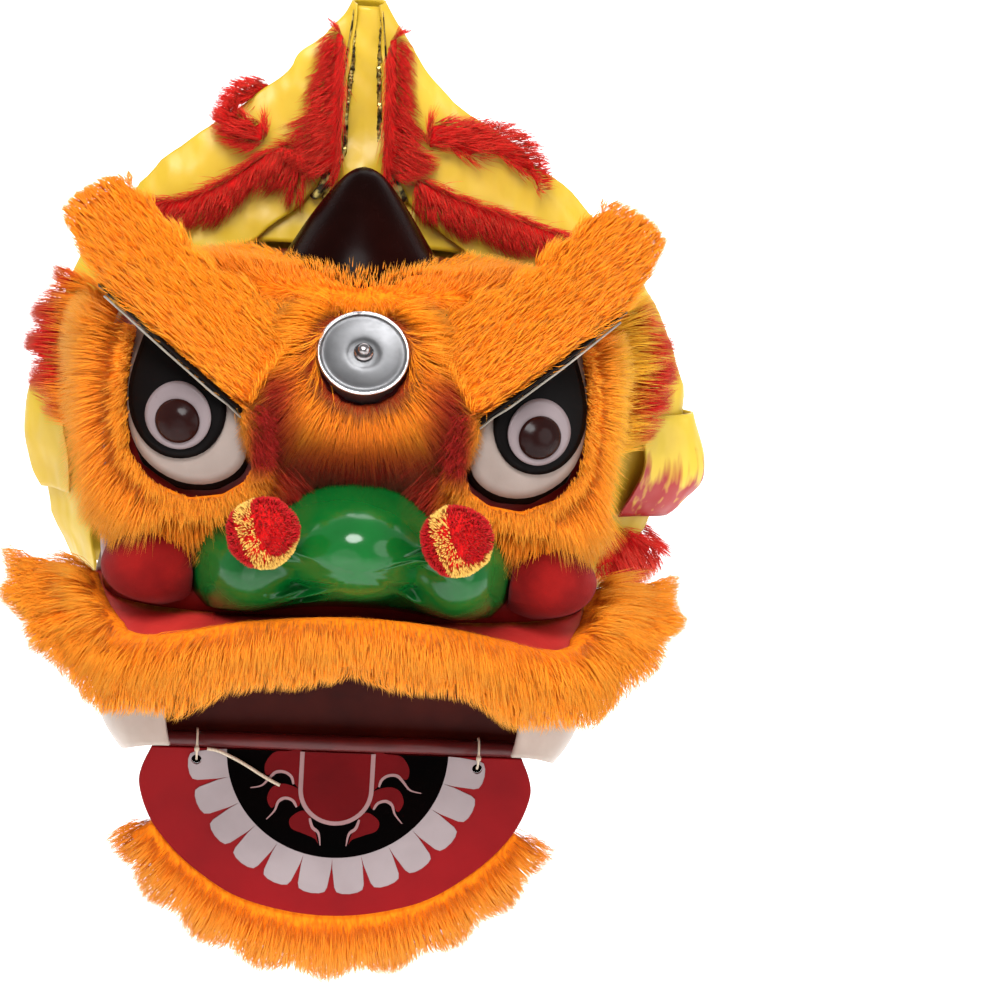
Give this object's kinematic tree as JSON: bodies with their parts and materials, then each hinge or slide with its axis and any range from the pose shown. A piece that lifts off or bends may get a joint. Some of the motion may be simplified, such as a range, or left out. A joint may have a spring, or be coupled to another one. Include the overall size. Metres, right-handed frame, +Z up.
{
  "type": "lion dance head",
  "caption": "Hollow lion dance head with horn, forehead mirror, staring eyes, glossy nose, fur trim, gathered cape and a hinged jaw board hanging on string ties.",
  "frame": {"origin": "underside of the crown at the middle of the head hollow, where the wearer's head carries it", "axes": "+Z up out of the crown, -Y out of the face, +X to the viewer's right"},
  "size_m": [0.4237, 0.3177, 0.5621],
  "materials": {
    "lacquer_red": "painted papier-mache, satin",
    "lacquer_black": "glossy lacquer",
    "mirror_metal": "polished",
    "orange_fur": "long pile artificial fur",
    "eye_white": "smooth",
    "eye_ring": "smooth",
    "eye_pupil": "glossy dome",
    "lacquer_green": "glossy lacquer",
    "pompom_wool": "cut wool in red and yellow quarters",
    "post_black": "plain",
    "red_plush": "short plush",
    "muzzle_white": "painted, satin",
    "mouth_dark": "painted, satin",
    "string": "twisted cotton",
    "yellow_satin": "satin",
    "sequin_braid": "sequin braid, black and gold",
    "red_fur": "long pile artificial fur"
  },
  "bodies": {
    "head": {"head_shell": "lacquer_red", "horn": "lacquer_black", "mirror_disc": "mirror_metal", "mirror_stud": "mirror_metal", "mirror_fur": "orange_fur", "crown_fur": "orange_fur", "brow_right": "orange_fur", "brow_left": "orange_fur", "brow_edge_right": "lacquer_black", "brow_edge_left": "lacquer_black", "eye_liner_right": "lacquer_black", "eye_liner_left": "lacquer_black", "eye_white_right": "eye_white", "eye_white_left": "eye_white", "eye_black_right": "lacquer_black", "eye_black_left": "lacquer_black", "eye_ring_right": "eye_ring", "eye_ring_left": "eye_ring", "eye_pupil_right": "eye_pupil", "eye_pupil_left": "eye_pupil", "eye_fur_right": "orange_fur", "eye_fur_left": "orange_fur", "ear_right": "orange_fur", "ear_left": "orange_fur", "nose": "lacquer_green", "pompom_right": "pompom_wool", "pompom_left": "pompom_wool", "pompom_post_right": "post_black", "pompom_post_left": "post_black", "cheek_right": "red_plush", "cheek_left": "red_plush", "upper_lip": "lacquer_red", "lip_fringe": "orange_fur", "muzzle_wall_right": "muzzle_white", "muzzle_wall_left": "muzzle_white", "palate": "mouth_dark", "jaw_bar": "mouth_dark", "cape": "yellow_satin", "cape_spine": "yellow_satin", "cape_braid_left": "sequin_braid", "cape_flap_left": "yellow_satin", "cape_trim_spine_left": "red_fur", "cape_trim_tier_left": "red_fur", "cape_trim_flag_left": "red_fur", "cape_braid_right": "sequin_braid", "cape_flap_right": "yellow_satin", "cape_trim_spine_right": "red_fur", "cape_trim_tier_right": "red_fur", "cape_trim_flag_right": "red_fur", "cape_trim_side_right": "red_fur"},
    "jaw": {"jaw_board": "lacquer_red", "jaw_fur": "orange_fur", "jaw_tie_left": "string", "jaw_tie_right": "string", "tie_tail": "string"}
  },
  "joints": [
    {"name": "jaw_hinge", "type": "hinge", "parent": "head", "child": "jaw", "pos_m": [0, -0.06, -0.273], "axis": [-1, 0, 0], "range_deg": [-12, 75]}
  ]
}
